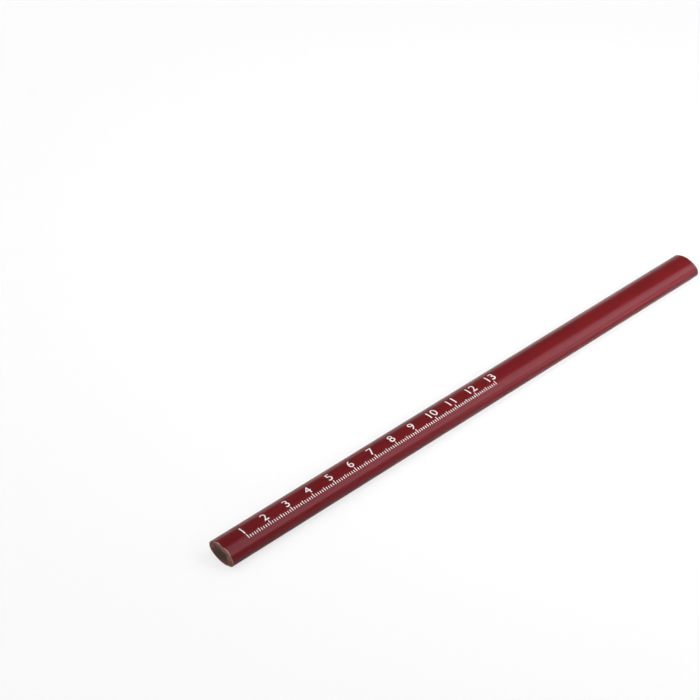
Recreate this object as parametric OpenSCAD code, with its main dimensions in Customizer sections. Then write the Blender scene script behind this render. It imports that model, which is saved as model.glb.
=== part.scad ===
// Oval carpenter pencil, new and unsharpened: a flat graphite lead glued between two grooved wooden
// slats, shaped together to an oval, then primed, lacquered and sawn square at both ends.
// It lies on its broad side: X runs along its length, Y across its width and Z up from the table,
// with the origin on the table under its middle.

/* [Pencil] */
// Length between the two sawn ends
length = 240; // [170:5:300]
// Width across the lacquered oval
width = 13; // [11.5:0.5:16]
// Thickness through the lacquered oval
thickness = 8.1; // [7:0.1:10]
// Radius of the oval's two narrow sides
side_radius = 3; // [2:0.1:3.4]

/* [Lead] */
// Width of the flat lead
lead_width = 5.4; // [4:0.1:7]
// Thickness of the flat lead
lead_thickness = 2.4; // [1.6:0.1:3.2]
// Radius of the lead's four long edges
lead_edge_radius = 0.6; // [0.2:0.1:0.7]

/* [Glue and coats] */
// Thickness of the glue film between the slats and all round the lead
glue_thickness = 0.08; // [0.04:0.01:0.15]
// Thickness of the primer that seals the wood
primer_thickness = 0.06; // [0.04:0.01:0.12]
// Thickness of the coloured lacquer
lacquer_thickness = 0.12; // [0.06:0.01:0.2]

/* [Hidden] */
$fn = 96;

// The oval has four arcs: two wide faces and two narrow sides. A side arc is centred on the mid-plane,
// and a face arc on the vertical through the middle, below or above it. Where a face arc and a side
// arc meet, the side arc stands this little past the face arc, so that the two cross in one clean line.
arc_crossing = 0.002;
side_centre = width / 2 - side_radius;
touching_radius = side_radius - arc_crossing;
face_radius = (pow(side_centre, 2) + pow(thickness / 2, 2) - pow(touching_radius, 2))
    / (thickness - 2 * touching_radius);
face_centre = face_radius - thickness / 2;
// Direction from a side arc's centre to where it meets the face arc
meeting_angle = atan2(face_centre, side_centre);
// How far cutting shapes reach, well past everything in the section
reach = 2 * (width + thickness);

// Depth of each layer's outer surface below the finished one
primer_depth = lacquer_thickness;
wood_depth = lacquer_thickness + primer_thickness;
groove_gap = glue_thickness;

lacquer_colour = [0.50, 0.09, 0.11];
primer_colour = [0.86, 0.80, 0.70];
wood_colour = [0.74, 0.55, 0.43];
glue_colour = [0.80, 0.70, 0.48];
lead_colour = [0.20, 0.21, 0.22];

// The pencil's oval, with every arc drawn in by the same depth
module oval(depth = 0) {
    half_face = side_centre + (side_radius - depth) * cos(meeting_angle);
    intersection() {
        translate([0, -face_centre]) circle(face_radius - depth);
        translate([0, face_centre]) circle(face_radius - depth);
        union() {
            square([2 * half_face, reach], center = true);
            for (side = [-1, 1]) translate([side * side_centre, 0]) circle(side_radius - depth);
        }
    }
}

// The lead's outline, a rectangle with round corners, grown on all sides
module lead_outline(grow = 0) {
    w = lead_width + 2 * grow;
    t = lead_thickness + 2 * grow;
    r = lead_edge_radius + grow;
    square([w - 2 * r, t], center = true);
    square([w, t - 2 * r], center = true);
    for (left = [0, 1], down = [0, 1]) mirror([left, 0]) mirror([0, down])
        translate([w / 2 - r, t / 2 - r]) intersection() {
            circle(r);
            square(r);
        }
}

// Everything below a height in the section
module below(height) {
    translate([-reach, height - 2 * reach]) square(2 * reach);
}

// Half of the wood: it stops half a film above the mid-plane and has the groove for the lead
module slat_outline() {
    difference() {
        oval(wood_depth);
        below(glue_thickness / 2);
        lead_outline(groove_gap);
    }
}

// One layer of the finish, between two depths
module coat_outline(outer_depth, inner_depth) {
    difference() {
        oval(outer_depth);
        oval(inner_depth);
    }
}

// Runs a section, drawn round the pencil's middle, along the whole length
module along_pencil() {
    translate([-length / 2, 0, thickness / 2]) rotate([90, 0, 90]) linear_extrude(length) children();
}

module upper_slat() {
    color(wood_colour) along_pencil() slat_outline();
}

module lower_slat() {
    color(wood_colour) along_pencil() mirror([0, 1]) slat_outline();
}

module lead() {
    color(lead_colour) along_pencil() lead_outline();
}

// The glue that bonds the slats on both sides of the lead and beds the lead in its grooves
module glue_film() {
    color(glue_colour) along_pencil() difference() {
        union() {
            intersection() {
                oval(wood_depth);
                square([width, glue_thickness], center = true);
            }
            lead_outline(groove_gap);
        }
        lead_outline();
    }
}

module primer_coat() {
    color(primer_colour) along_pencil() coat_outline(primer_depth, wood_depth);
}

module lacquer_coat() {
    color(lacquer_colour) along_pencil() coat_outline(0, primer_depth);
}

upper_slat();
lower_slat();
lead();
glue_film();
primer_coat();
lacquer_coat();
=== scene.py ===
"""Looks of an oval carpenter pencil: red gloss lacquer, raw sawn ends, a flat lead and a printed scale."""

import math

import bmesh
import bpy
from mathutils import Euler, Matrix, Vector, noise


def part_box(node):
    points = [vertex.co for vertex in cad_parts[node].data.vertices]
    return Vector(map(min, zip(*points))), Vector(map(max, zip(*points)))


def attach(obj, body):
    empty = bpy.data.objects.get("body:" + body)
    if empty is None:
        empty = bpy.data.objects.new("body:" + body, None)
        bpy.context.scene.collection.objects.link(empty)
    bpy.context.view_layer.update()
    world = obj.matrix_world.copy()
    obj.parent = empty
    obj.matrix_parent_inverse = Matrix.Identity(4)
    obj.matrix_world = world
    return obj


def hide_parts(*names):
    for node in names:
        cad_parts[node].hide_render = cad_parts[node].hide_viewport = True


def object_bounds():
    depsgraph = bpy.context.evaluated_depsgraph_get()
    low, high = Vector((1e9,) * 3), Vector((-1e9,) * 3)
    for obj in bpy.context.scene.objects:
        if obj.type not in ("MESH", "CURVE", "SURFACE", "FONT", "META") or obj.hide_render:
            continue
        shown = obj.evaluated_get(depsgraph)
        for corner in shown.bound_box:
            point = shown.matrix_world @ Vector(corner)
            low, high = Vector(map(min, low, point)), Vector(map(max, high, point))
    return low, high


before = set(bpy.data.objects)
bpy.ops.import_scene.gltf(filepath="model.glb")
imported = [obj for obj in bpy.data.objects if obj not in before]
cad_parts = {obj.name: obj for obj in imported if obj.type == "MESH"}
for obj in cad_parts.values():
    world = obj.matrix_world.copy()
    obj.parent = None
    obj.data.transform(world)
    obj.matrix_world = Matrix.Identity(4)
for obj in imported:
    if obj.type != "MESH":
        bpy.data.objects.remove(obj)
cad_low, cad_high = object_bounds()

MM = 0.001

# Sizes of the pencil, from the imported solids
LENGTH = cad_high.x - cad_low.x
WIDTH = cad_high.y - cad_low.y
THICKNESS = cad_high.z - cad_low.z
MIDDLE_Z = (cad_low.z + cad_high.z) / 2
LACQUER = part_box("lacquer_coat")[1].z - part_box("primer_coat")[1].z
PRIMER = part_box("primer_coat")[1].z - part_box("upper_slat")[1].z
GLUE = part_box("upper_slat")[0].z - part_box("lower_slat")[1].z
LEAD_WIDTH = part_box("lead")[1].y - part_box("lead")[0].y
LEAD_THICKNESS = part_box("lead")[1].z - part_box("lead")[0].z

# Sizes that the solids' boxes don't give
SIDE_RADIUS = 3.0 * MM
LEAD_EDGE_RADIUS = 0.6 * MM
INK = 0.012 * MM
# How far the ink reaches into the lacquer
INK_SUNK = 0.4 * INK

# The lacquer's waviness: how deep it is, and how long and wide a wave is
WAVINESS = 0.004 * MM
WAVE_LENGTH = 22 * MM
WAVE_WIDTH = 5 * MM

# How finely the surfaces are divided
AROUND = 288
LACQUER_DEEP = 5
LACQUER_STEP = 5 * MM
SLAT_ACROSS = 160
SLAT_DEEP = 34
GROOVE_AROUND = 96
LEAD_AROUND = 120
LEAD_DEEP = 14
BED_DEEP = 3
SEAM_ACROSS = 40
NUMBER_STEPS = 6
FLOOR_AROUND = 96
# How many times finer the wood's rim is drawn before it is divided evenly
RIM_FINER = 4
# Above 1, the wood's rows of points lie closer together towards its rim
ROW_CROWDING = 1.5
# Edges that bend more than this stay sharp
SMOOTH_ANGLE = math.radians(35)

# Lengths that count as nothing: between two points, off a cut, along an edge and along a line
SAME_POINT = 1e-8
ON_CUT = 1e-9
NO_LENGTH = 1e-7
LEAST_GAP = 1e-12

# The printed scale: a line every millimetre, with a number every tenth, read from the near end
FIFTH = 5
TENTH = 10
SCALE_FIRST = 10
SCALE_LAST = 130
SCALE_FOOT = -3.3 * MM
LINE_WIDTH = 0.26 * MM
LINE_LENGTH = 1.0 * MM
FIFTH_LENGTH = 1.4 * MM
TENTH_LENGTH = 1.8 * MM
NUMBER_FOOT = -1.0 * MM
NUMBER_HEIGHT = 3.5 * MM
WRAP_STEP = 0.3 * MM

# The camera, as it stood for the photograph
CAMERA_AZIMUTH = math.radians(-42.52)
CAMERA_ELEVATION = math.radians(39.35)
CAMERA_DISTANCE = 0.8517
CAMERA_TARGET = Vector((-0.01034, 0.05475, 0.0))
CAMERA_LENS = 114.95
CAMERA_SENSOR = 36.0
CAMERA_CLIP = (0.01, 20.0)

# Across the picture, and level away from the camera
RIGHT = Vector((math.cos(CAMERA_AZIMUTH), math.sin(CAMERA_AZIMUTH), 0.0))
AWAY = Vector((-math.sin(CAMERA_AZIMUTH), math.cos(CAMERA_AZIMUTH), 0.0))


# The oval section

class Oval:
    """Four arcs that meet smoothly. A tilt is the lean of the outward normal from straight up towards +Y."""

    def __init__(self, width, thickness, side_radius):
        self.side_radius = side_radius
        self.side_centre = width / 2 - side_radius
        self.face_radius = (
            (self.side_centre ** 2 + (thickness / 2) ** 2 - side_radius ** 2)
            / (thickness - 2 * side_radius)
        )
        self.face_centre = self.face_radius - thickness / 2
        self.meeting = math.atan2(self.side_centre, self.face_centre)
        self.face_reach = self.face_radius * self.meeting
        self.side_reach = side_radius * (math.pi - 2 * self.meeting)
        self.half_round = 2 * self.face_reach + self.side_reach

    def tilt(self, distance):
        """Tilt at a distance from the top ridge, along the surface towards +Y."""
        way = abs(distance)
        if way <= self.face_reach:
            tilt = way / self.face_radius
        elif way <= self.face_reach + self.side_reach:
            tilt = self.meeting + (way - self.face_reach) / self.side_radius
        else:
            tilt = math.pi - self.meeting + (way - self.face_reach - self.side_reach) / self.face_radius
        return math.copysign(tilt, distance)

    def point(self, tilt, depth=0.0):
        """The point (y, z) at that tilt, so far under the surface."""
        across, up = math.sin(tilt), math.cos(tilt)
        if abs(tilt) <= self.meeting:
            radius = self.face_radius - depth
            return radius * across, MIDDLE_Z - self.face_centre + radius * up
        if abs(tilt) >= math.pi - self.meeting:
            radius = self.face_radius - depth
            return radius * across, MIDDLE_Z + self.face_centre + radius * up
        radius = self.side_radius - depth
        return math.copysign(self.side_centre, across) + radius * across, MIDDLE_Z + radius * up

    def depth(self, y, z):
        """How far a point of the section lies under the surface."""
        across, up = abs(y), abs(z - MIDDLE_Z)
        if math.atan2(across, up + self.face_centre) > self.meeting:
            return self.side_radius - math.hypot(across - self.side_centre, up)
        return self.face_radius - math.hypot(across, up + self.face_centre)

    def way(self, y, z):
        """How far round from the top ridge, towards +Y, the surface outside a point of the section lies."""
        across, up = abs(y), abs(z - MIDDLE_Z)
        tilt = math.atan2(across, up + self.face_centre)
        way = tilt * self.face_radius
        if tilt > self.meeting:
            tilt = math.atan2(across - self.side_centre, up)
            way = self.face_reach + (tilt - self.meeting) * self.side_radius
        if z < MIDDLE_Z:
            way = self.half_round - way
        return math.copysign(way, y)

    def loop(self, depth, count):
        """Points all round, evenly spaced on the outer surface."""
        steps = [self.half_round * (2 * i / count - 1) for i in range(count)]
        return [self.point(self.tilt(step), depth) for step in steps]


oval = Oval(WIDTH, THICKNESS, SIDE_RADIUS)

# Depth of each layer's outer surface under the oval
LACQUER_DEPTH = INK
PRIMER_DEPTH = LACQUER_DEPTH + LACQUER
WOOD_DEPTH = PRIMER_DEPTH + PRIMER

# The tilt at the oval's widest place, and half the width there of the wood and of its groove
WIDEST_TILT = oval.tilt(oval.half_round / 2)
WOOD_REACH = oval.point(WIDEST_TILT, WOOD_DEPTH)[0]
GROOVE_REACH = LEAD_WIDTH / 2 + GLUE


def blend(a, b, share):
    """The value that lies a share of the way from one to another."""
    return a + (b - a) * share


def blend_loops(inner, outer, shares):
    """Rows of points from one line of points to another."""
    return [
        [(blend(p[0], q[0], share), blend(p[1], q[1], share)) for p, q in zip(inner, outer)]
        for share in shares
    ]


def lead_loop(grow, count):
    """Points round the lead's outline, a rectangle with round corners, from the middle of its +Y side."""
    radius = LEAD_EDGE_RADIUS + grow
    flat_y = LEAD_WIDTH / 2 + grow - radius
    flat_z = LEAD_THICKNESS / 2 + grow - radius
    corners = [(flat_y, flat_z), (-flat_y, flat_z), (-flat_y, -flat_z), (flat_y, -flat_z)]
    corner_steps = count // (2 * len(corners))
    start = (flat_y + radius, MIDDLE_Z)
    outline = [start]
    for turn, (y, z) in enumerate(corners):
        for i in range(corner_steps + 1):
            angle = math.pi / 2 * (turn + i / corner_steps)
            outline.append((y + radius * math.cos(angle), MIDDLE_Z + z + radius * math.sin(angle)))
    return spread(outline + [start], count)


def spread(line, count, ends=False):
    """The same line of points, divided evenly into so many."""
    ways = [0.0]
    for p, q in zip(line, line[1:]):
        ways.append(ways[-1] + math.dist(p, q))
    gaps = count - 1 if ends else count
    found = []
    k = 0
    for i in range(count):
        way = ways[-1] * i / gaps
        while k < len(ways) - 2 and ways[k + 1] < way:
            k += 1
        share = (way - ways[k]) / max(ways[k + 1] - ways[k], LEAST_GAP)
        found.append((blend(line[k][0], line[k + 1][0], share), blend(line[k][1], line[k + 1][1], share)))
    return found


# What the saw did to the ends

NEAR, FAR = -1, 1
SAW_PITCH = 0.62 * MM
SAW_LEAN = math.radians(62)
SAW_DEPTH = 0.03 * MM
SAW_WANDER = 1.6
WANDER_SIZE = 2.2 * MM
FIBRE_SIZE = 0.2 * MM
FIBRE_DEPTH = 0.022 * MM
HOLLOW_SIZE = 1.6 * MM
RIM_WIDTH = 0.45 * MM
RAGGED_SIZE = 0.45 * MM
BREAK_LEAST = 0.015 * MM
BREAK_RAGGED = {NEAR: 0.09 * MM, FAR: 0.05 * MM}
LACQUER_ROUNDING = 0.035 * MM
LEAD_RECESS = 0.03 * MM
CRUMB_SIZE = 0.5 * MM
CRUMB_DEPTH = 0.06 * MM
GLUE_RECESS = 0.05 * MM
GLUE_LUMP_SIZE = 0.4 * MM
GLUE_LUMP_DEPTH = 0.02 * MM
# How much of the broken rim the wood and the primer share, and how much of the saw marks the lead shows
WOOD_BREAK = 0.7
PRIMER_BREAK = 0.8
LEAD_MARKS = 0.6
# Layers of noise over an end face, and how far apart in the noise the two ends and the layers lie
FIBRES, WANDER, RAGGED, HOLLOWS, CRUMBS, LUMPS = 0, 1, 2, 4, 5, 6
END_APART = 7.3
LAYER_APART = 31.7
# Flakes broken off the rim: the end, how far round from the top ridge towards +Y, the width and the depth
FLAKES = [
    (NEAR, 2.2 * MM, 4.4 * MM, 0.50 * MM),
    (NEAR, -3.3 * MM, 4.4 * MM, 0.60 * MM),
    (NEAR, 6.4 * MM, 1.6 * MM, 0.25 * MM),
    (NEAR, -13.5 * MM, 1.6 * MM, 0.22 * MM),
    (FAR, -12.8 * MM, 1.4 * MM, 0.25 * MM),
    (FAR, 8.6 * MM, 1.9 * MM, 0.35 * MM),
    (FAR, 13.5 * MM, 1.5 * MM, 0.20 * MM),
]


def rough(y, z, end, size, layer):
    """Smooth noise over an end face, from -1 to 1. Each end and each layer has its own."""
    return noise.noise(Vector((y / size, z / size, END_APART * end + LAYER_APART * layer)))


def rough_share(y, z, end, size, layer):
    """The same noise, from 0 to 1."""
    return 0.5 + 0.5 * rough(y, z, end, size, layer)


def saw_marks(y, z, end):
    """Depth of the saw's grooves below the end plane. They slant, and wander a little."""
    across = y * math.sin(SAW_LEAN) - (z - MIDDLE_Z) * math.cos(SAW_LEAN) * end
    wander = SAW_WANDER * rough(y, z, end, WANDER_SIZE, WANDER)
    return SAW_DEPTH * (0.5 + 0.5 * math.sin(2 * math.pi * across / SAW_PITCH + wander))


def edge_break(y, z, end):
    """How far the saw has broken the rim back: a fine ragged edge, with a larger flake here and there."""
    ragged = rough_share(y, z, end, RAGGED_SIZE, RAGGED)
    way = oval.way(y, z)
    broken = BREAK_LEAST + BREAK_RAGGED[end] * ragged
    for flake_end, place, width, depth in FLAKES:
        if flake_end == end:
            hollow = max(0.0, 1 - (2 * (way - place) / width) ** 2)
            broken += depth * hollow * (0.5 + 0.5 * ragged)
    return broken


# How far below the end plane each piece is cut

def wood_relief(y, z, end):
    fibres = rough_share(y, z, end, FIBRE_SIZE, FIBRES)
    hollows = rough_share(y, z, end, HOLLOW_SIZE, HOLLOWS)
    nearness = max(0.0, 1 - (oval.depth(y, z) - WOOD_DEPTH) / RIM_WIDTH)
    torn = WOOD_BREAK * edge_break(y, z, end) * nearness ** 2
    return saw_marks(y, z, end) + FIBRE_DEPTH * (fibres + hollows) + torn


def lead_relief(y, z, end):
    crumbs = max(0.0, rough(y, z, end, CRUMB_SIZE, CRUMBS))
    return LEAD_RECESS + LEAD_MARKS * saw_marks(y, z, end) + CRUMB_DEPTH * crumbs ** 2


def glue_relief(y, z, end):
    return GLUE_RECESS + GLUE_LUMP_DEPTH * rough(y, z, end, GLUE_LUMP_SIZE, LUMPS)


def primer_relief(y, z, end):
    return saw_marks(y, z, end) + PRIMER_BREAK * edge_break(y, z, end)


def lacquer_relief(y, z, end):
    nearness = max(0.0, 1 - (oval.depth(y, z) - LACQUER_DEPTH) / LACQUER)
    rounding = LACQUER_ROUNDING * nearness ** 2
    return saw_marks(y, z, end) + edge_break(y, z, end) + rounding


# Making meshes

def new_object(name, data):
    """An object in the scene."""
    made = bpy.data.objects.new(name, data)
    bpy.context.scene.collection.objects.link(made)
    return made


def new_mesh(name, bm):
    """A mesh from a finished bmesh, which is freed."""
    mesh = bpy.data.meshes.new(name)
    bm.to_mesh(mesh)
    bm.free()
    return mesh


def new_piece(name, bm):
    """An object with its faces turned outwards, shaded smooth up to its sharp edges."""
    bmesh.ops.recalc_face_normals(bm, faces=bm.faces)
    mesh = new_mesh(name, bm)
    mesh.shade_smooth()
    mesh.set_sharp_from_angle(angle=SMOOTH_ANGLE)
    return new_object(name, mesh)


def bar(name, rows, relief, closed=False, hollow=True, waviness=0.0):
    """A section run along the whole pencil. The rows of points go from the inside out, and relief says how
    far below the end planes the cut face lies."""
    columns = len(rows[0])
    links = columns if closed else columns - 1
    bm = bmesh.new()

    def row_at(end, row):
        return [bm.verts.new((end * (LENGTH / 2 - relief(y, z, end)), y, z)) for y, z in row]

    # The two cut faces
    caps = {end: [row_at(end, row) for row in rows] for end in (NEAR, FAR)}
    for end, cap in caps.items():
        for inner, outer in zip(cap, cap[1:]):
            for i in range(links):
                j = (i + 1) % columns
                face = [inner[i], inner[j], outer[j], outer[i]]
                bm.faces.new(face if end == FAR else face[::-1])

    # The long surface outside, in rings where it is wavy
    outside = [caps[NEAR][-1]]
    if waviness:
        ring_count = round(LENGTH / LACQUER_STEP)
        for k in range(1, ring_count):
            x = LENGTH * (k / ring_count - 0.5)
            outside.append([bm.verts.new(wavy(x, y, z, waviness)) for y, z in rows[-1]])
    outside.append(caps[FAR][-1])
    for near, far in zip(outside, outside[1:]):
        for i in range(links):
            j = (i + 1) % columns
            bm.faces.new((near[i], far[i], far[j], near[j]))

    # The long surface inside
    if hollow:
        near, far = caps[NEAR][0], caps[FAR][0]
        for i in range(links):
            j = (i + 1) % columns
            bm.faces.new((near[j], far[j], far[i], near[i]))

    # The two long edges of a section that doesn't go all round
    if not closed:
        for column, order in ((0, 1), (-1, -1)):
            near = [row[column] for row in caps[NEAR]]
            far = [row[column] for row in caps[FAR]]
            for k in range(len(rows) - 1):
                face = [near[k], far[k], far[k + 1], near[k + 1]]
                bm.faces.new(face[::order])

    bmesh.ops.remove_doubles(bm, verts=bm.verts, dist=SAME_POINT)
    return new_piece(name, bm)


def wavy(x, y, z, most):
    """A point of a long surface, drawn in a little, unevenly."""
    share = 0.5 + 0.5 * noise.noise(Vector((x / WAVE_LENGTH, y / WAVE_WIDTH, z / WAVE_WIDTH)))
    scale = 1 - 2 * most * share / WIDTH
    return x, y * scale, MIDDLE_Z + (z - MIDDLE_Z) * scale


# Building blocks for materials

class Nodes:
    """A material's node tree, with short calls for the nodes used here."""

    def __init__(self, name):
        self.material = bpy.data.materials.new(name)
        self.material.use_nodes = True
        self.tree = self.material.node_tree
        self.shader = self.tree.nodes["Principled BSDF"]
        self.place = self.add("ShaderNodeTexCoord").outputs["Object"]

    def add(self, kind, **settings):
        node = self.tree.nodes.new(kind)
        for key, value in settings.items():
            setattr(node, key, value)
        return node

    def join(self, source, socket):
        self.tree.links.new(source, socket)

    def put(self, socket, value):
        """Links a socket, or sets it to a plain number or a colour."""
        if isinstance(value, bpy.types.NodeSocket):
            self.join(value, socket)
        elif isinstance(value, tuple):
            socket.default_value = (*value, 1.0)
        else:
            socket.default_value = value

    def math(self, operation, *values):
        node = self.add("ShaderNodeMath", operation=operation)
        for socket, value in zip(node.inputs, values):
            self.put(socket, value)
        return node.outputs[0]

    def stretched(self, scale=(1, 1, 1), move=(0, 0, 0), turn=(0, 0, 0)):
        """The piece's own coordinates, moved, turned and scaled."""
        node = self.add("ShaderNodeMapping")
        self.join(self.place, node.inputs["Vector"])
        node.inputs["Location"].default_value = move
        node.inputs["Rotation"].default_value = turn
        node.inputs["Scale"].default_value = scale
        return node.outputs[0]

    def noise(self, size, place=None, detail=4.0, roughness=0.55):
        node = self.add("ShaderNodeTexNoise")
        self.join(place or self.place, node.inputs["Vector"])
        node.inputs["Scale"].default_value = 1 / size
        node.inputs["Detail"].default_value = detail
        node.inputs["Roughness"].default_value = roughness
        return node.outputs["Fac"]

    def cells(self, size, place):
        """Distance to the nearest of many scattered points, about one for every size."""
        node = self.add("ShaderNodeTexVoronoi")
        self.join(place, node.inputs["Vector"])
        node.inputs["Scale"].default_value = 1 / size
        return node.outputs["Distance"]

    def ramp(self, value, *stops):
        """A colour ramp from (position, colour) stops."""
        node = self.add("ShaderNodeValToRGB")
        self.put(node.inputs[0], value)
        elements = node.color_ramp.elements
        while len(elements) < len(stops):
            elements.new(0.5)
        for element, (position, colour) in zip(elements, stops):
            element.position = position
            element.color = (*colour, 1.0)
        return node.outputs["Color"]

    def span(self, value, from_low, from_high, to_low, to_high, smooth=False):
        """Carries a value over from one range to another, and keeps it inside."""
        node = self.add("ShaderNodeMapRange")
        node.interpolation_type = "SMOOTHSTEP" if smooth else "LINEAR"
        for socket, item in zip(node.inputs, (value, from_low, from_high, to_low, to_high)):
            self.put(socket, item)
        return node.outputs[0]

    def mix(self, share, first, second, kind="MIX"):
        node = self.add("ShaderNodeMix", data_type="RGBA", blend_type=kind)
        colours = [socket for socket in node.inputs if socket.type == "RGBA"]
        self.put(node.inputs[0], share)
        self.put(colours[0], first)
        self.put(colours[1], second)
        return next(socket for socket in node.outputs if socket.type == "RGBA")

    def bump(self, height, distance, under=None):
        node = self.add("ShaderNodeBump")
        self.join(height, node.inputs["Height"])
        node.inputs["Distance"].default_value = distance
        if under:
            self.join(under, node.inputs["Normal"])
        return node.outputs[0]

    def finish(self, **sockets):
        """Sets the shader's sockets, with _ for each space in a name."""
        for name, value in sockets.items():
            self.put(self.shader.inputs[name.replace("_", " ")], value)
        return self.material


# Materials

WHITE = (1.0, 1.0, 1.0)
DEEP_RED = (0.126, 0.0066, 0.0082)
CLEAR_RED = (0.150, 0.0082, 0.0100)
# What the lacquer's gloss keeps of white light
SHEEN = (1.0, 0.8, 0.93)
STAINED_FILLER = (0.42, 0.22, 0.17)
CLEAN_FILLER = (0.60, 0.40, 0.31)
# Stained wood and its dust
BROWN = (0.15, 0.058, 0.042)
# Pale torn wood at the rim, which also serves as a painted highlight along the top edge
TORN_WOOD_AND_HIGHLIGHT = (0.68, 0.375, 0.325)
# What pores, rays and saw scratches leave of the wood's colour
PORE_SHADE = (0.42, 0.36, 0.33)
RAY_SHADE = (0.70, 0.66, 0.63)
SCRATCH_SHADE = (0.66, 0.63, 0.61)
BLACK_LEAD = (0.011, 0.009, 0.0075)
GREY_LEAD = (0.058, 0.047, 0.039)
GRAPHITE_DUST = (0.036, 0.028, 0.022)
DARK_GLUE = (0.13, 0.085, 0.05)
LIGHT_GLUE = (0.27, 0.19, 0.11)
THIN_INK = (0.74, 0.66, 0.66)
FULL_INK = (0.87, 0.85, 0.85)

# Each slat's grain: where the middle of its growth rings lies from the pencil's own, across and up, how wide
# a ring is, the colours of early and late wood, and how pale its rim is, as torn fibres and as a painted
# highlight that is strongest on the upper slat
UPPER_GRAIN = {
    "pith": (34 * MM, -9 * MM),
    "ring": 0.8 * MM,
    "light": (0.56, 0.265, 0.208),
    "dark": (0.27, 0.110, 0.082),
    "torn_and_highlight_share": 0.9,
}
LOWER_GRAIN = {
    "pith": (-41 * MM, -16 * MM),
    "ring": 0.95 * MM,
    "light": (0.375, 0.156, 0.125),
    "dark": (0.183, 0.066, 0.050),
    "torn_and_highlight_share": 0.25,
}
# Distance between the rings of a wave texture whose scale is 1
RING_PERIOD = 0.314

# Graphite on the wood: how well it covers, how far its haze reaches at the -Y and the +Y side, how far the
# saw drags it, and how softly the streaks end
DUST_COVER = 0.7
HAZE_REACH = (1.5 * MM, 5.5 * MM)
DRAG_MOST = 1.5 * MM
STREAK_FADE = 0.35 * MM


def lacquer_material():
    """Dark red gloss lacquer: nearly even, with faint drift in colour, handling haze and a fine skin."""
    n = Nodes("red_lacquer")
    drift = n.noise(9 * MM, n.stretched(scale=(0.25, 1, 1)), detail=3)
    colour = n.ramp(drift, (0.3, DEEP_RED), (0.7, CLEAR_RED))
    haze = n.noise(4 * MM, n.stretched(scale=(0.4, 1, 1)), detail=6, roughness=0.65)
    gloss = n.span(haze, 0.3, 0.75, 0.13, 0.23)
    skin = n.noise(0.9 * MM, n.stretched(scale=(0.3, 1, 1)), detail=2)
    dust = n.noise(0.12 * MM, detail=1)
    normal = n.bump(skin, 0.004 * MM)
    normal = n.bump(dust, 0.0012 * MM, under=normal)
    return n.finish(Base_Color=colour, Roughness=gloss, IOR=1.3, Specular_Tint=SHEEN, Normal=normal)


def primer_material():
    """Pale filler under the lacquer, chalky, stained by the red."""
    n = Nodes("pale_primer")
    grain = n.noise(0.2 * MM, detail=5)
    colour = n.ramp(grain, (0.3, STAINED_FILLER), (0.7, CLEAN_FILLER))
    return n.finish(Base_Color=colour, Roughness=0.8, Normal=n.bump(grain, 0.01 * MM))


def wood_material(name, pith, ring, light, dark, torn_and_highlight_share):
    """Sawn end grain: growth rings round a pith outside the slat, stains that gather towards +Y, pores, rays,
    saw lines, a pale rim that is partly torn wood and partly a painted highlight, and graphite dragged off
    the lead."""
    n = Nodes(name)
    rings = n.add("ShaderNodeTexWave", wave_type="RINGS", rings_direction="X", wave_profile="SAW")
    n.join(n.stretched(move=(0, -pith[0], -MIDDLE_Z - pith[1])), rings.inputs["Vector"])
    rings.inputs["Scale"].default_value = RING_PERIOD / ring
    rings.inputs["Distortion"].default_value = 2.4
    rings.inputs["Detail"].default_value = 2
    rings.inputs["Detail Scale"].default_value = 0.6
    middling = [blend(a, b, 0.5) for a, b in zip(light, dark)]
    # One year's growth, from early wood to late
    season = [(0.0, middling), (0.05, light), (0.64, light), (0.89, dark), (0.97, dark), (1.0, middling)]
    colour = n.ramp(rings.outputs["Fac"], *season)
    y = section_place(n)[0]
    stain = n.math("ADD", n.noise(2.4 * MM, detail=5), n.span(y, -WIDTH / 2, WIDTH / 2, -0.14, 0.12))
    colour = n.mix(n.span(stain, 0.40, 0.70, 0.0, 0.75), colour, BROWN)
    pores = n.cells(0.1 * MM, n.stretched(scale=(0.15, 1, 1)))
    colour = n.mix(1.0, colour, n.ramp(pores, (0.08, PORE_SHADE), (0.34, WHITE)), "MULTIPLY")
    rays = lines(n, 0.12 * MM, math.atan2(pith[1], pith[0]), 0.04)
    colour = n.mix(0.7, colour, n.ramp(rays, (0.36, RAY_SHADE), (0.58, WHITE)), "MULTIPLY")
    scratches = saw_lines(n, 0.16 * MM)
    colour = n.mix(0.8, colour, n.ramp(scratches, (0.38, SCRATCH_SHADE), (0.6, WHITE)), "MULTIPLY")
    # The pale rim: partly torn fibres, partly a painted highlight, much stronger on the upper slat than the
    # lower
    tearing_and_highlight = n.span(n.noise(0.5 * MM, detail=3), 0.35, 0.6, 0.25 * torn_and_highlight_share, torn_and_highlight_share)
    colour = n.mix(n.math("MULTIPLY", rim(n), tearing_and_highlight), colour, TORN_WOOD_AND_HIGHLIGHT)
    colour = n.mix(smear(n), colour, GRAPHITE_DUST)
    normal = n.bump(pores, 0.02 * MM)
    normal = n.bump(scratches, 0.014 * MM, under=normal)
    return n.finish(Base_Color=colour, Roughness=0.82, IOR=1.4, Normal=normal)


def lines(n, pitch, lean, stretch):
    """Fine lines across an end face, stretched along a direction that leans up from +Y."""
    drawn = n.add("ShaderNodeMapping")
    n.join(n.stretched(turn=(-lean, 0, 0)), drawn.inputs["Vector"])
    drawn.inputs["Scale"].default_value = (0.02, stretch, 1.0)
    return n.noise(pitch, drawn.outputs[0], detail=3)


def saw_lines(n, pitch):
    """Fine lines along the saw's grooves."""
    return lines(n, pitch, SAW_LEAN, 0.06)


def section_place(n):
    """Where a point lies in the section: across from the middle, and up from it."""
    split = n.add("ShaderNodeSeparateXYZ")
    n.join(n.place, split.inputs[0])
    return split.outputs["Y"], n.math("SUBTRACT", split.outputs["Z"], MIDDLE_Z)


def hypotenuse(n, first, second):
    squares = n.math("ADD", n.math("MULTIPLY", first, first), n.math("MULTIPLY", second, second))
    return n.math("SQRT", squares)


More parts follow.
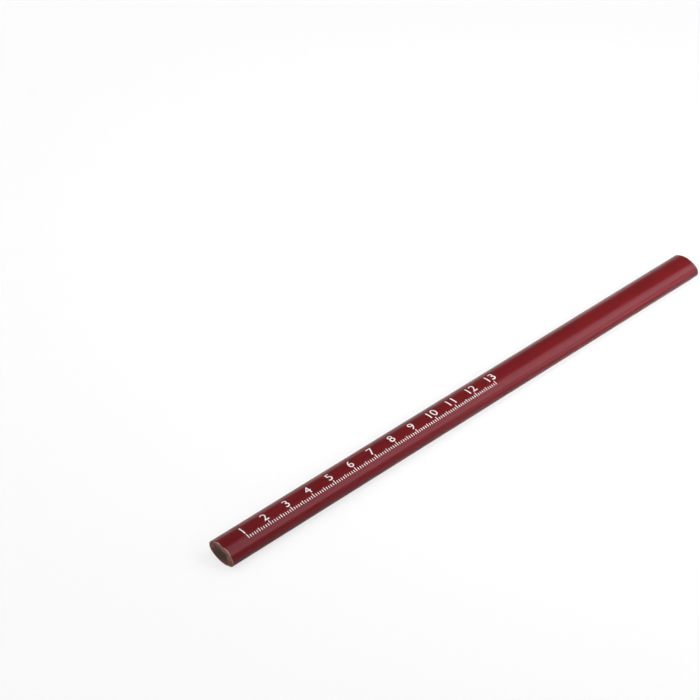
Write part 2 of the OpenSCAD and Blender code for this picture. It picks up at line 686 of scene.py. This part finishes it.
def rim(n):
    """1 at the rim of the wood, falling to 0 a little way in."""
    y, z = section_place(n)
    across = n.math("ABSOLUTE", y)
    up = n.math("ABSOLUTE", z)
    from_face_centre = n.math("ADD", up, oval.face_centre)
    face_depth = n.math("SUBTRACT", oval.face_radius, hypotenuse(n, across, from_face_centre))
    from_side_centre = n.math("SUBTRACT", across, oval.side_centre)
    side_depth = n.math("SUBTRACT", oval.side_radius, hypotenuse(n, from_side_centre, up))
    at_side = n.math("GREATER_THAN", n.math("ARCTAN2", across, from_face_centre), oval.meeting)
    past_face = n.math("MULTIPLY", at_side, n.math("SUBTRACT", side_depth, face_depth))
    depth = n.math("ADD", face_depth, past_face)
    return n.span(depth, WOOD_DEPTH, WOOD_DEPTH + RIM_WIDTH, 1.0, 0.0, smooth=True)


def lead_distance(n, y, z):
    """How far a point lies outside the lead's outline."""
    beside = n.math("SUBTRACT", n.math("ABSOLUTE", y), LEAD_WIDTH / 2)
    beyond = n.math("SUBTRACT", n.math("ABSOLUTE", z), LEAD_THICKNESS / 2)
    return n.math("MAXIMUM", beside, beyond)


def smear(n):
    """How much graphite lies on the wood: a haze round the lead, widest towards +Y, and streaks dragged along
    the saw lines."""
    y, z = section_place(n)
    reach = n.span(y, -WIDTH / 2, WIDTH / 2, *HAZE_REACH)
    uneven = n.math("MULTIPLY", n.noise(0.9 * MM, detail=5), reach)
    haze = n.span(lead_distance(n, y, z), 0.0, uneven, DUST_COVER, 0.0, smooth=True)
    drag = n.span(saw_lines(n, 0.4 * MM), 0.42, 0.7, 0.0, DRAG_MOST)
    dragged_y = n.math("ADD", y, n.math("MULTIPLY", drag, math.cos(SAW_LEAN)))
    dragged_z = n.math("ADD", z, n.math("MULTIPLY", drag, math.sin(SAW_LEAN)))
    streaks = n.span(lead_distance(n, dragged_y, dragged_z), 0.0, STREAK_FADE, DUST_COVER, 0.0, smooth=True)
    return n.math("MAXIMUM", haze, streaks)


def lead_material():
    """Graphite and clay: dark grey with a slight sheen, streaked by the saw and dusted with brown, most
    towards +Y."""
    n = Nodes("graphite")
    streaks = saw_lines(n, 0.3 * MM)
    crumbs = n.noise(0.35 * MM, detail=6, roughness=0.7)
    patches = n.span(n.noise(1.8 * MM, detail=3), 0.35, 0.65, -0.1, 0.1)
    tone = n.math("ADD", n.math("MULTIPLY", streaks, 0.55), n.math("MULTIPLY", crumbs, 0.45))
    tone = n.math("ADD", tone, patches)
    colour = n.ramp(tone, (0.36, BLACK_LEAD), (0.64, GREY_LEAD))
    y = section_place(n)[0]
    dust = n.math("ADD", saw_lines(n, 0.5 * MM), n.span(y, -LEAD_WIDTH / 2, LEAD_WIDTH / 2, -0.1, 0.1))
    colour = n.mix(n.span(dust, 0.38, 0.66, 0.10, 0.55), colour, BROWN)
    gloss = n.span(crumbs, 0.3, 0.7, 0.42, 0.62)
    normal = n.bump(crumbs, 0.02 * MM)
    return n.finish(Base_Color=colour, Roughness=gloss, IOR=1.22, Normal=normal)


def glue_material():
    """Dried wood glue, yellow-brown and uneven, blackened beside the lead."""
    n = Nodes("dried_glue")
    uneven = n.noise(0.5 * MM, detail=4)
    colour = n.ramp(uneven, (0.3, DARK_GLUE), (0.7, LIGHT_GLUE))
    colour = n.mix(n.math("MULTIPLY", smear(n), 0.8), colour, GRAPHITE_DUST)
    return n.finish(Base_Color=colour, Roughness=0.45, Normal=n.bump(uneven, 0.01 * MM))


def ink_material():
    """White ink, a little thin in places."""
    n = Nodes("white_ink")
    cover = n.noise(0.35 * MM, detail=5, roughness=0.6)
    colour = n.ramp(cover, (0.25, THIN_INK), (0.5, FULL_INK))
    gloss = n.span(cover, 0.3, 0.7, 0.32, 0.45)
    return n.finish(Base_Color=colour, Roughness=gloss, Normal=n.bump(cover, 0.002 * MM))


# The pieces that stand for the solids

def dress(piece, material, slot, *nodes):
    """Gives a piece its material, and lets it stand for its solids."""
    piece.data.materials.append(material)
    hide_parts(*nodes)
    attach(piece, "root")


def even(count):
    """So many shares, evenly from 0 to 1."""
    return [i / (count - 1) for i in range(count)]


def slat_rows(side):
    """Half of the wood, from the groove and the seam out to the coats. Side is 1 above the seam, -1 below."""
    seam_z = MIDDLE_Z + GLUE / 2
    groove = [(y, z) for y, z in lead_loop(GLUE, GROOVE_AROUND) if z > seam_z]
    groove.sort(key=lambda p: math.atan2(p[1] - MIDDLE_Z, p[0]))
    first, last = (WOOD_REACH, seam_z), (-WOOD_REACH, seam_z)
    inner = [first, (GROOVE_REACH, seam_z), *groove, (-GROOVE_REACH, seam_z), last]
    tilts = [WIDEST_TILT * (1 - 2 * share) for share in even(RIM_FINER * SLAT_ACROSS)]
    outer = [oval.point(tilt, WOOD_DEPTH) for tilt in tilts]
    inner = spread(inner, SLAT_ACROSS, ends=True)
    outer = spread(outer, SLAT_ACROSS, ends=True)
    outer[0], outer[-1] = first, last
    if side < 0:
        inner = [(y, 2 * MIDDLE_Z - z) for y, z in inner]
        outer = [(y, 2 * MIDDLE_Z - z) for y, z in outer]
    return blend_loops(inner, outer, [1 - (1 - share) ** ROW_CROWDING for share in even(SLAT_DEEP)])


def make_slats():
    upper = bar("upper_wood", slat_rows(1), wood_relief)
    dress(upper, wood_material("upper_end_grain", **UPPER_GRAIN), "wood", "upper_slat")
    lower = bar("lower_wood", slat_rows(-1), wood_relief)
    dress(lower, wood_material("lower_end_grain", **LOWER_GRAIN), "wood", "lower_slat")


def make_lead():
    outline = lead_loop(0.0, LEAD_AROUND)
    spine_y = LEAD_WIDTH / 2 - LEAD_THICKNESS / 2
    spine = [(max(-spine_y, min(spine_y, y)), MIDDLE_Z) for y, _ in outline]
    rows = blend_loops(spine, outline, even(LEAD_DEEP))
    lead = bar("flat_lead", rows, lead_relief, closed=True, hollow=False)
    dress(lead, lead_material(), "graphite", "lead")


def make_glue():
    """The bed of glue all round the lead, and the seam on each side of it."""
    material = glue_material()
    bed_rows = blend_loops(lead_loop(0.0, LEAD_AROUND), lead_loop(GLUE, LEAD_AROUND), even(BED_DEEP))
    bed = bar("glue_bed", bed_rows, glue_relief, closed=True)
    dress(bed, material, "glue", "glue_film")
    for name, side in (("left_glue_seam", 1), ("right_glue_seam", -1)):
        ways = [side * blend(GROOVE_REACH, WOOD_REACH, share) for share in even(SEAM_ACROSS)]
        rows = [[(y, MIDDLE_Z + GLUE * height) for y in ways] for height in (-0.5, 0.0, 0.5)]
        dress(bar(name, rows, glue_relief), material, "glue", "glue_film")


def make_coats():
    primer_rows = [oval.loop(WOOD_DEPTH, AROUND), oval.loop(PRIMER_DEPTH, AROUND)]
    primer = bar("primer", primer_rows, primer_relief, closed=True)
    dress(primer, primer_material(), "primer", "primer_coat")
    depths = [blend(PRIMER_DEPTH, LACQUER_DEPTH, share) for share in even(LACQUER_DEEP)]
    lacquer_rows = [oval.loop(depth, AROUND) for depth in depths]
    lacquer = bar("lacquer", lacquer_rows, lacquer_relief, closed=True, waviness=WAVINESS)
    dress(lacquer, lacquer_material(), "lacquer", "lacquer_coat")


# The printed scale

def number_outline(text):
    """A number as a flat mesh, centred on its own width."""
    curve = bpy.data.curves.new("number", "FONT")
    curve.body = text
    curve.align_x = "CENTER"
    curve.resolution_u = NUMBER_STEPS
    writer = new_object("number", curve)
    bpy.context.view_layer.update()
    shape = bpy.data.meshes.new_from_object(writer.evaluated_get(bpy.context.evaluated_depsgraph_get()))
    bpy.data.objects.remove(writer)
    bpy.data.curves.remove(curve)
    return shape


def add_flat(bm, points, faces):
    """Adds flat artwork: its points, and faces that name them by their order."""
    verts = [bm.verts.new((x, y, 0.0)) for x, y in points]
    for face in faces:
        bm.faces.new([verts[i] for i in face])


def print_on_oval(name, bm, material):
    """Wraps flat artwork over the pencil's top and gives it the ink's thickness. In the artwork, x runs
    along the pencil and y round it from the top ridge."""
    low = min(v.co.y for v in bm.verts)
    high = max(v.co.y for v in bm.verts)
    for k in range(math.ceil((high - low) / WRAP_STEP)):
        everything = bm.verts[:] + bm.edges[:] + bm.faces[:]
        cut = (0.0, low + k * WRAP_STEP, 0.0)
        bmesh.ops.bisect_plane(bm, geom=everything, dist=ON_CUT, plane_co=cut, plane_no=(0, 1, 0))
    bmesh.ops.dissolve_degenerate(bm, dist=NO_LENGTH, edges=bm.edges)
    bmesh.ops.triangulate(bm, faces=bm.faces)
    bm.normal_update()
    for face in bm.faces:
        if face.normal.z < 0:
            face.normal_flip()
    sunk = bm.verts[:]
    made = bmesh.ops.extrude_face_region(bm, geom=bm.faces[:])
    raised = [item for item in made["geom"] if isinstance(item, bmesh.types.BMVert)]
    for v in raised:
        v.co = wrapped(v.co, LACQUER_DEPTH - INK)
    for v in sunk:
        v.co = wrapped(v.co, LACQUER_DEPTH + INK_SUNK)
    piece = new_piece(name, bm)
    piece.data.materials.append(material)
    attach(piece, "root")


def wrapped(co, depth):
    """Where a point of flat artwork lies on the pencil."""
    y, z = oval.point(oval.tilt(co.y), depth)
    return Vector((co.x, y, z))


def line_length(mark):
    if mark % TENTH == 0:
        return TENTH_LENGTH
    return FIFTH_LENGTH if mark % FIFTH == 0 else LINE_LENGTH


def make_scale():
    ink = ink_material()
    near_end = -LENGTH / 2
    marks = bmesh.new()
    for mark in range(SCALE_FIRST, SCALE_LAST + 1):
        x = near_end + mark * MM
        left, right = x - LINE_WIDTH / 2, x + LINE_WIDTH / 2
        head = SCALE_FOOT + line_length(mark)
        corners = [(left, SCALE_FOOT), (right, SCALE_FOOT), (right, head), (left, head)]
        add_flat(marks, corners, [(0, 1, 2, 3)])
    print_on_oval("scale_lines", marks, ink)
    numbers = bmesh.new()
    for mark in range(SCALE_FIRST, SCALE_LAST + 1, TENTH):
        shape = number_outline(str(mark // TENTH))
        tall = max(v.co.y for v in shape.vertices)
        size = NUMBER_HEIGHT / tall
        x = near_end + mark * MM
        points = [(x + v.co.x * size, NUMBER_FOOT + v.co.y * size) for v in shape.vertices]
        add_flat(numbers, points, [tuple(face.vertices) for face in shape.polygons])
        bpy.data.meshes.remove(shape)
    print_on_oval("scale_numbers", numbers, ink)


# The set: floor, light and camera

# The floor: its diameter, its two tones to the eye, and what it throws back at the pencil
FLOOR_SIZE = 6.0
FLOOR_DULL = (0.94, 0.94, 0.94)
FLOOR_CLEAR = (0.96, 0.96, 0.96)
FLOOR_BOUNCE = (0.2, 0.2, 0.2)
# How much the floor glows to the camera beside the pencil, and between which distances that grows to white
FLOOR_GLOW = 0.72
GLOW_NEAR = 0.2
GLOW_FAR = 0.5
# The lamp overhead: the angles that it covers behind and before the pencil, and how it starts dimmed
STRIP_HEIGHT = 1.2
STRIP_LENGTH = 3.0
STRIP_BEHIND = math.radians(26)
STRIP_BEFORE = math.radians(10)
STRIP_RIGHT = 0.2
STRIP_TURN = math.radians(10)
STRIP_RADIANCE = 4.75
STRIP_DIM = 0.25
STRIP_RISE = (0.4, 1.0)
# The panel at the right
PANEL_PLACE = RIGHT * 1.7 - AWAY * 0.185 + Vector((0, 0, 0.56))
PANEL_WIDTH = 0.37
PANEL_HEIGHT = 0.6
PANEL_RADIANCE = 4.5
PANEL_DIM = 0.38
PANEL_RISE = (0.11, 0.39)
# The fill at the left
FILL_PLACE = Vector((-1.6, -0.5, 1.3))
FILL_SIZE = 2.0
FILL_RADIANCE = 1.2
# The lamp with a narrow beam: where it aims, and the way from there to the lamp
GRID_AIM = Vector((0.1, 0.0, 0.0))
GRID_WAY = Vector((0.36, -0.74, 0.58)).normalized()
GRID_DISTANCE = 0.75
GRID_SIZE = 0.25
GRID_SPREAD = math.radians(28)
GRID_RADIANCE = 1.05
# The studio's own light, and the angles above level at which its white horizon starts to fade and has faded
STUDIO_DIM = 0.2
HORIZON_TOP = math.radians(9)
HORIZON_FADE = math.radians(13)


def floor_material():
    """Plain white to the camera and in reflections. To the camera the shadow beside the pencil is lightened.
    The floor throws back less light than it seems to, so that the pencil's underside stays dark."""
    n = Nodes("white_floor")
    path = n.add("ShaderNodeLightPath")
    seen = n.math("MAXIMUM", path.outputs["Is Camera Ray"], path.outputs["Is Glossy Ray"])
    seen = n.math("MAXIMUM", seen, path.outputs["Is Transmission Ray"])
    tone = n.noise(0.4, detail=2)
    white = n.ramp(tone, (0.3, FLOOR_DULL), (0.7, FLOOR_CLEAR))
    n.finish(Base_Color=n.mix(seen, FLOOR_BOUNCE, white), Roughness=0.9)
    n.shader.inputs["Specular IOR Level"].default_value = 0.0
    n.material.cycles.emission_sampling = "NONE"
    way = n.add("ShaderNodeVectorMath", operation="LENGTH")
    n.join(n.place, way.inputs[0])
    lift = n.math("MULTIPLY", path.outputs["Is Camera Ray"], FLOOR_GLOW)
    share = n.span(way.outputs["Value"], GLOW_NEAR, GLOW_FAR, lift, 1.0, smooth=True)
    glow = n.add("ShaderNodeEmission")
    mixed = n.add("ShaderNodeMixShader")
    n.join(n.math("MULTIPLY", seen, share), mixed.inputs[0])
    n.join(n.shader.outputs[0], mixed.inputs[1])
    n.join(glow.outputs[0], mixed.inputs[2])
    n.join(mixed.outputs[0], n.tree.nodes["Material Output"].inputs["Surface"])
    return n.material


def make_floor():
    bm = bmesh.new()
    bmesh.ops.create_circle(bm, cap_ends=True, radius=FLOOR_SIZE / 2, segments=FLOOR_AROUND)
    floor = new_object("floor", new_mesh("floor", bm))
    floor.location.z = cad_low.z
    floor.data.materials.append(floor_material())


def softbox(name, place, facing, width, height, radiance, glossy=True):
    """A flat rectangular lamp whose face shines with that radiance. Its width lies level."""
    lamp = bpy.data.lights.new(name, "AREA")
    lamp.shape = "RECTANGLE"
    lamp.size = width
    lamp.size_y = height
    lamp.energy = radiance * math.pi * width * height
    holder = new_object(name, lamp)
    holder.location = place
    holder.rotation_mode = "QUATERNION"
    holder.rotation_quaternion = facing
    holder.visible_camera = False
    holder.visible_glossy = glossy
    return holder


def dim_start(holder, dim, rise):
    """Dims a lamp where its width begins. Between two shares of the width it rises to full strength."""
    lamp = holder.data
    lamp.use_nodes = True
    tree = lamp.node_tree
    place = tree.nodes.new("ShaderNodeNewGeometry")
    split = tree.nodes.new("ShaderNodeSeparateXYZ")
    strength = tree.nodes.new("ShaderNodeMapRange")
    tree.links.new(place.outputs["Parametric"], split.inputs[0])
    tree.links.new(split.outputs["X"], strength.inputs[0])
    for socket, value in zip(list(strength.inputs)[1:], (*rise, dim, 1.0)):
        socket.default_value = value
    tree.links.new(strength.outputs[0], tree.nodes["Emission"].inputs["Strength"])


def make_lights():
    """A long lamp overhead, which the lacquer mirrors as a band, a panel at the right, which it mirrors as a
    thin line under the band's far half, a fill that lights the near end, and a lamp with a narrow beam that
    brightens the pencil towards its far end."""
    down = Euler((0, 0, CAMERA_AZIMUTH + STRIP_TURN)).to_quaternion()
    behind = STRIP_HEIGHT * math.tan(STRIP_BEHIND)
    before = STRIP_HEIGHT * math.tan(STRIP_BEFORE)
    middle = AWAY * (behind - before) / 2 + RIGHT * STRIP_RIGHT + Vector((0, 0, STRIP_HEIGHT))
    strip = softbox("overhead_strip", middle, down, STRIP_LENGTH, behind + before, STRIP_RADIANCE)
    dim_start(strip, STRIP_DIM, STRIP_RISE)
    leftward = (-RIGHT).to_track_quat("-Z", "Y")
    panel = softbox("side_panel", PANEL_PLACE, leftward, PANEL_WIDTH, PANEL_HEIGHT, PANEL_RADIANCE)
    dim_start(panel, PANEL_DIM, PANEL_RISE)
    inward = (-FILL_PLACE).to_track_quat("-Z", "Y")
    softbox("left_fill", FILL_PLACE, inward, FILL_SIZE, FILL_SIZE, FILL_RADIANCE, glossy=False)
    place = GRID_AIM + GRID_WAY * GRID_DISTANCE
    inward = (-GRID_WAY).to_track_quat("-Z", "Y")
    lamp = softbox("gridded_lamp", place, inward, GRID_SIZE, GRID_SIZE, GRID_RADIANCE, glossy=False)
    lamp.data.spread = GRID_SPREAD


def make_world():
    """A dim studio, with a white horizon to the camera and in reflections."""
    world = bpy.data.worlds.new("studio")
    bpy.context.scene.world = world
    world.use_nodes = True
    tree = world.node_tree
    place = tree.nodes.new("ShaderNodeTexCoord")
    split = tree.nodes.new("ShaderNodeSeparateXYZ")
    tree.links.new(place.outputs["Generated"], split.inputs[0])
    fade = tree.nodes.new("ShaderNodeMapRange")
    fade.interpolation_type = "SMOOTHSTEP"
    ends = (math.sin(HORIZON_TOP), math.sin(HORIZON_FADE), 1.0, STUDIO_DIM)
    tree.links.new(split.outputs["Z"], fade.inputs[0])
    for socket, value in zip(list(fade.inputs)[1:], ends):
        socket.default_value = value
    path = tree.nodes.new("ShaderNodeLightPath")
    bright = tree.nodes["Background"]
    dim = tree.nodes.new("ShaderNodeBackground")
    dim.inputs["Strength"].default_value = STUDIO_DIM
    tree.links.new(fade.outputs[0], bright.inputs["Strength"])
    mixed = tree.nodes.new("ShaderNodeMixShader")
    seen = path.outputs["Is Camera Ray"]
    for kind in ("Is Glossy Ray", "Is Transmission Ray"):
        either = tree.nodes.new("ShaderNodeMath")
        either.operation = "MAXIMUM"
        tree.links.new(seen, either.inputs[0])
        tree.links.new(path.outputs[kind], either.inputs[1])
        seen = either.outputs[0]
    tree.links.new(seen, mixed.inputs[0])
    tree.links.new(dim.outputs[0], mixed.inputs[1])
    tree.links.new(bright.outputs[0], mixed.inputs[2])
    tree.links.new(mixed.outputs[0], tree.nodes["World Output"].inputs["Surface"])
    for background in (bright, dim):
        background.inputs["Color"].default_value = (*WHITE, 1.0)


def make_camera():
    lens = bpy.data.cameras.new("camera")
    lens.lens = CAMERA_LENS
    lens.sensor_width = CAMERA_SENSOR
    lens.clip_start, lens.clip_end = CAMERA_CLIP
    camera = new_object("camera", lens)
    back = Vector((
        math.sin(CAMERA_AZIMUTH) * math.cos(CAMERA_ELEVATION),
        -math.cos(CAMERA_AZIMUTH) * math.cos(CAMERA_ELEVATION),
        math.sin(CAMERA_ELEVATION),
    ))
    camera.location = CAMERA_TARGET + back * CAMERA_DISTANCE
    camera.rotation_mode = "QUATERNION"
    camera.rotation_quaternion = (-back).to_track_quat("-Z", "Y")
    bpy.context.scene.camera = camera


make_camera()
make_floor()
make_lights()
make_world()
make_slats()
make_lead()
make_glue()
make_coats()
make_scale()
bpy.context.scene.view_settings.view_transform = "Standard"
